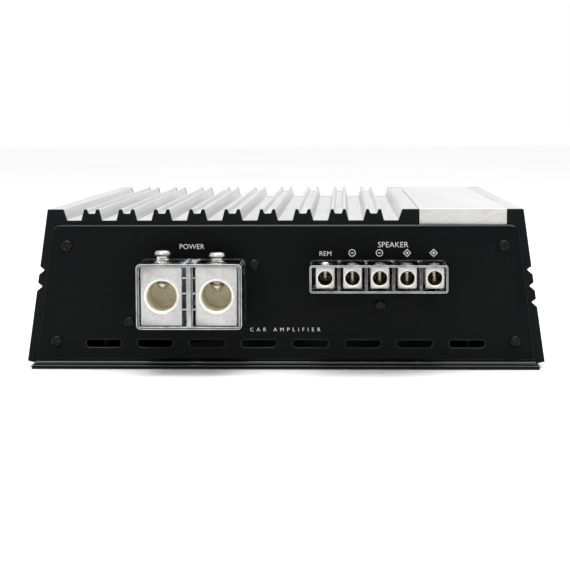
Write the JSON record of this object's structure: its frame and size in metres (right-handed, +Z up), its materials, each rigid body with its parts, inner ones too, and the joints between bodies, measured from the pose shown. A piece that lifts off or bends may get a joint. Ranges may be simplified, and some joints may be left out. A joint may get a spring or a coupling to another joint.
{
  "type": "car amplifier",
  "caption": "Car audio amplifier with a finned aluminium body, black end panels, clear-covered screw terminals for power and speakers, and rear level controls.",
  "frame": {"origin": "under the middle of the whole object, on the surface it stands on", "axes": "+Z up, the power and speaker terminals face -Y, the level controls face +Y, and +X is to the right when looking at the terminals"},
  "size_m": [0.25, 0.306, 0.0768],
  "materials": {
    "silver_aluminium": "satin anodised, fine lengthwise extrusion lines",
    "brushed_aluminium": "brushed",
    "black_coating": "satin black powder coat",
    "clear_plastic": "clear moulded polycarbonate",
    "nickel_plate": "satin nickel plate",
    "set_screw_steel": "bright nickel plate",
    "black_plastic": "moulded",
    "black_screw_steel": "black oxide, semi-gloss",
    "knob_plastic": "fine moulded texture",
    "switch_case": "tin-plated sheet",
    "gold_plate": "polished gold plate",
    "led_lens": "tinted clear lens",
    "green_board": "solder resist",
    "copper_winding": "enamelled copper wire",
    "capacitor_sleeve": "shrink sleeve",
    "epoxy_package": "moulded epoxy"
  },
  "bodies": {
    "casing": {"heatsink": "silver_aluminium", "top_bar": "brushed_aluminium", "front_end_frame": "black_coating", "rear_end_frame": "black_coating", "front_panel": "black_coating", "rear_panel": "black_coating", "base_plate": "black_coating", "power_terminal_cover": "clear_plastic", "speaker_terminal_cover": "clear_plastic", "power_block_left": "nickel_plate", "power_block_right": "nickel_plate", "remote_block": "nickel_plate", "speaker_1_block": "nickel_plate", "speaker_2_block": "nickel_plate", "speaker_3_block": "nickel_plate", "speaker_4_block": "nickel_plate", "power_terminal_base": "black_plastic", "speaker_terminal_base": "black_plastic", "remote_socket": "black_plastic", "bass_boost_potentiometer": "black_plastic", "subsonic_potentiometer": "black_plastic", "low_pass_potentiometer": "black_plastic", "gain_potentiometer": "black_plastic", "front_panel_screw_1": "black_screw_steel", "front_panel_screw_2": "black_screw_steel", "front_panel_screw_3": "black_screw_steel", "front_panel_screw_4": "black_screw_steel", "terminal_screw_1": "black_screw_steel", "terminal_screw_2": "black_screw_steel", "terminal_screw_3": "black_screw_steel", "rear_panel_screw_1": "black_screw_steel", "rear_panel_screw_2": "black_screw_steel", "rear_panel_screw_3": "black_screw_steel", "rear_panel_screw_4": "black_screw_steel", "phase_switch_body": "switch_case", "rca_jack_left": "gold_plate", "rca_jack_right": "gold_plate", "status_led": "led_lens", "circuit_board": "green_board", "control_board": "green_board", "toroid_transformer": "copper_winding", "output_inductor": "copper_winding", "capacitor_1": "capacitor_sleeve", "capacitor_2": "capacitor_sleeve", "capacitor_3": "capacitor_sleeve", "left_transistor_row": "epoxy_package", "right_transistor_row": "epoxy_package"},
    "power_set_screw_left": {"power_set_screw_left": "set_screw_steel"},
    "power_set_screw_right": {"power_set_screw_right": "set_screw_steel"},
    "remote_set_screw": {"remote_set_screw": "set_screw_steel"},
    "speaker_1_set_screw": {"speaker_1_set_screw": "set_screw_steel"},
    "speaker_2_set_screw": {"speaker_2_set_screw": "set_screw_steel"},
    "speaker_3_set_screw": {"speaker_3_set_screw": "set_screw_steel"},
    "speaker_4_set_screw": {"speaker_4_set_screw": "set_screw_steel"},
    "bass_boost_knob": {"bass_boost_knob": "knob_plastic"},
    "subsonic_knob": {"subsonic_knob": "knob_plastic"},
    "low_pass_knob": {"low_pass_knob": "knob_plastic"},
    "gain_knob": {"gain_knob": "knob_plastic"},
    "phase_switch_slider": {"phase_switch_slider": "black_plastic"}
  },
  "joints": [
    {"name": "power_set_screw_left_travel", "type": "slide", "parent": "casing", "child": "power_set_screw_left", "axis": [0, 0, 1], "range_m": [-0.009, 0.004]},
    {"name": "power_set_screw_right_travel", "type": "slide", "parent": "casing", "child": "power_set_screw_right", "axis": [0, 0, 1], "range_m": [-0.0081, 0.0049]},
    {"name": "remote_set_screw_travel", "type": "slide", "parent": "casing", "child": "remote_set_screw", "axis": [0, 0, 1], "range_m": [-0.0013, 0.002]},
    {"name": "speaker_1_set_screw_travel", "type": "slide", "parent": "casing", "child": "speaker_1_set_screw", "axis": [0, 0, 1], "range_m": [0, 0.0034]},
    {"name": "speaker_2_set_screw_travel", "type": "slide", "parent": "casing", "child": "speaker_2_set_screw", "axis": [0, 0, 1], "range_m": [0, 0.0034]},
    {"name": "speaker_3_set_screw_travel", "type": "slide", "parent": "casing", "child": "speaker_3_set_screw", "axis": [0, 0, 1], "range_m": [0, 0.0034]},
    {"name": "speaker_4_set_screw_travel", "type": "slide", "parent": "casing", "child": "speaker_4_set_screw", "axis": [0, 0, 1], "range_m": [0, 0.0034]},
    {"name": "bass_boost_turn", "type": "hinge", "parent": "casing", "child": "bass_boost_knob", "pos_m": [-0.04, 0.145, 0.04], "axis": [0, 1, 0], "range_deg": [-145, 145]},
    {"name": "subsonic_turn", "type": "hinge", "parent": "casing", "child": "subsonic_knob", "pos_m": [-0.018, 0.145, 0.04], "axis": [0, 1, 0], "range_deg": [-145, 145]},
    {"name": "low_pass_turn", "type": "hinge", "parent": "casing", "child": "low_pass_knob", "pos_m": [0.004, 0.145, 0.04], "axis": [0, 1, 0], "range_deg": [-145, 145]},
    {"name": "gain_turn", "type": "hinge", "parent": "casing", "child": "gain_knob", "pos_m": [0.026, 0.145, 0.04], "axis": [0, 1, 0], "range_deg": [-145, 145]},
    {"name": "phase_switch_travel", "type": "slide", "parent": "casing", "child": "phase_switch_slider", "axis": [1, 0, 0], "range_m": [0, 0.004]}
  ]
}
